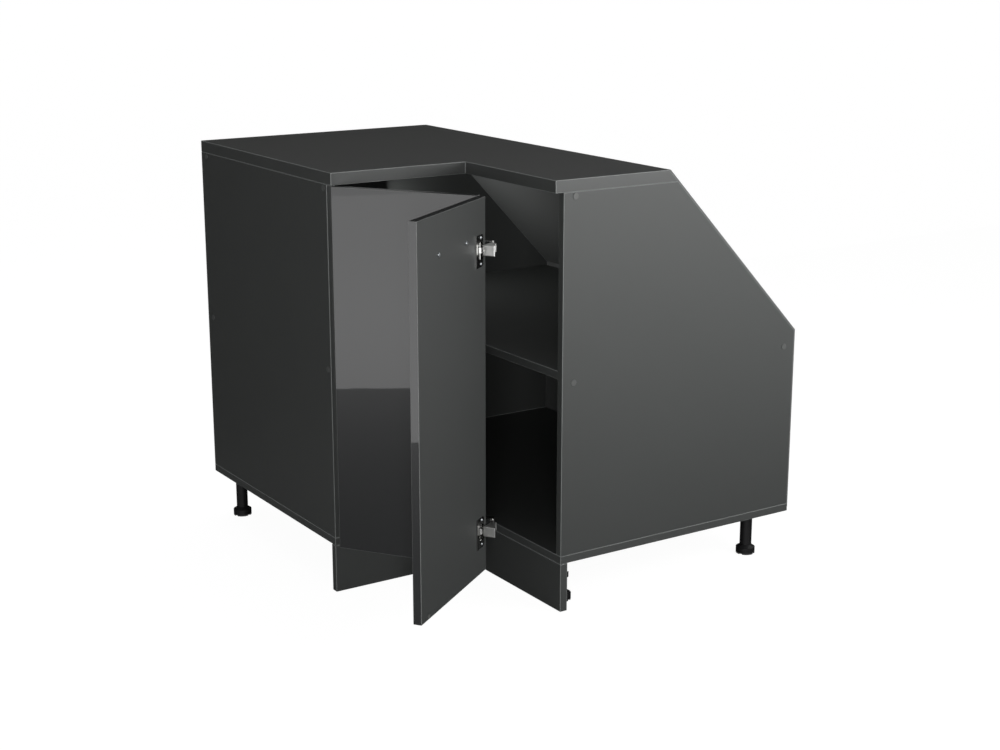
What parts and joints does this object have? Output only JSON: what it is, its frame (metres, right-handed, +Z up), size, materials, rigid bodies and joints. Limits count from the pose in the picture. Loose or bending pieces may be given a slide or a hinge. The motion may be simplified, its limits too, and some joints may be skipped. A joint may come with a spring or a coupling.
{
  "type": "corner kitchen cabinet",
  "caption": "Corner base kitchen cabinet with an L-shaped worktop, a sloped rear, bi-fold doors, a shelf, plinths and adjustable legs.",
  "frame": {"origin": "under the middle of the whole cabinet at floor level, doors open as pictured", "axes": "+Y towards the straight wall, +Z up, +X towards the slope"},
  "size_m": [0.9694, 1.026, 0.844],
  "materials": {
    "black_plastic": "black moulded plastic",
    "board": "matte anthracite melamine board",
    "bumper_rubber": "soft clear-grey rubber",
    "cap_plastic": "grey moulded plastic",
    "gloss_front": "high-gloss anthracite foil outside, matte inside",
    "hardboard": "thin painted hardboard",
    "nickel": "bright nickel-plated steel",
    "zinc_steel": "zinc-plated steel"
  },
  "bodies": {
    "carcass": {"worktop": "board", "left_side_panel": "board", "right_side_panel": "board", "wall_panel": "board", "base_panel": "board", "sloped_back": "hardboard", "lower_back": "hardboard", "shelf": "board", "shelf_studs": "nickel", "fixing_screws": "zinc_steel", "cover_caps_left": "cap_plastic", "cover_caps_right": "cap_plastic", "worktop_brackets": "zinc_steel", "worktop_bracket_screws": "zinc_steel", "socket_screws": "zinc_steel", "left_plinth": "board", "right_plinth": "board", "plinth_clips": "black_plastic", "corner_bracket": "zinc_steel", "plinth_screws": "zinc_steel", "base_screws": "zinc_steel", "wall_plates": "zinc_steel", "wall_plate_screws": "zinc_steel", "back_nails": "zinc_steel", "main_hinge_plates": "nickel", "main_plate_screws": "zinc_steel", "main_hinge_arms": "nickel", "leg_left_front": "black_plastic", "leg_left_back": "black_plastic", "leg_inner_corner": "black_plastic", "leg_right_front": "black_plastic", "leg_right_back": "black_plastic", "leg_rear_corner": "black_plastic"},
    "door_left": {"door_left_leaf": "gloss_front", "door_bumper_left": "bumper_rubber", "main_hinge_cups": "nickel", "main_cup_screws": "nickel", "fold_hinge_plates": "nickel", "fold_plate_screws": "zinc_steel", "fold_hinge_arms": "nickel"},
    "door_right": {"door_right_leaf": "gloss_front", "door_bumper_right": "bumper_rubber", "handle": "nickel", "handle_screws": "nickel", "fold_hinge_cups": "nickel", "fold_cup_screws": "nickel"},
    "main_inner_links": {"main_inner_links": "nickel"},
    "main_outer_links": {"main_outer_links": "nickel"},
    "fold_inner_links": {"fold_inner_links": "nickel"},
    "fold_outer_links": {"fold_outer_links": "nickel"},
    "foot_left_front": {"foot_left_front": "black_plastic"},
    "foot_left_back": {"foot_left_back": "black_plastic"},
    "foot_inner_corner": {"foot_inner_corner": "black_plastic"},
    "foot_right_front": {"foot_right_front": "black_plastic"},
    "foot_right_back": {"foot_right_back": "black_plastic"},
    "foot_rear_corner": {"foot_rear_corner": "black_plastic"}
  },
  "joints": [
    {"name": "door_left_swing", "type": "hinge", "parent": "carcass", "child": "door_left", "pos_m": [-0.41184, -0.08697, 0.46], "axis": [0, 0, -1], "range_deg": [-55, 50]},
    {"name": "door_right_fold", "type": "hinge", "parent": "door_left", "child": "door_right", "pos_m": [-0.24178, -0.32985, 0.46], "axis": [0, 0, 1], "range_deg": [0, 60]},
    {"name": "main_inner_link_turn", "type": "hinge", "parent": "carcass", "child": "main_inner_links", "pos_m": [-0.38384, -0.04897, 0.4535], "axis": [0, 0, -1], "range_deg": [-55, 50]},
    {"name": "main_outer_link_turn", "type": "hinge", "parent": "door_left", "child": "main_outer_links", "pos_m": [-0.38825, -0.09975, 0.4535], "axis": [0, 0, -1], "range_deg": [-50, 55]},
    {"name": "fold_inner_link_turn", "type": "hinge", "parent": "door_left", "child": "fold_inner_links", "pos_m": [-0.20426, -0.32067, 0.4535], "axis": [0, 0, 1], "range_deg": [0, 60]},
    {"name": "fold_outer_link_turn", "type": "hinge", "parent": "door_right", "child": "fold_outer_links", "pos_m": [-0.25071, -0.35197, 0.4535], "axis": [0, 0, 1], "range_deg": [-60, 0]},
    {"name": "foot_left_front_screw", "type": "slide", "parent": "carcass", "child": "foot_left_front", "axis": [0, 0, -1], "range_m": [0, 0.015]},
    {"name": "foot_left_back_screw", "type": "slide", "parent": "carcass", "child": "foot_left_back", "axis": [0, 0, -1], "range_m": [0, 0.015]},
    {"name": "foot_inner_corner_screw", "type": "slide", "parent": "carcass", "child": "foot_inner_corner", "axis": [0, 0, -1], "range_m": [0, 0.015]},
    {"name": "foot_right_front_screw", "type": "slide", "parent": "carcass", "child": "foot_right_front", "axis": [0, 0, -1], "range_m": [0, 0.015]},
    {"name": "foot_right_back_screw", "type": "slide", "parent": "carcass", "child": "foot_right_back", "axis": [0, 0, -1], "range_m": [0, 0.015]},
    {"name": "foot_rear_corner_screw", "type": "slide", "parent": "carcass", "child": "foot_rear_corner", "axis": [0, 0, -1], "range_m": [0, 0.015]}
  ],
  "couplings": [
    {"joint": "main_inner_link_turn", "follows": "door_left_swing", "ratio": 1},
    {"joint": "main_outer_link_turn", "follows": "door_left_swing", "ratio": -1},
    {"joint": "fold_inner_link_turn", "follows": "door_right_fold", "ratio": 1},
    {"joint": "fold_outer_link_turn", "follows": "door_right_fold", "ratio": -1}
  ]
}
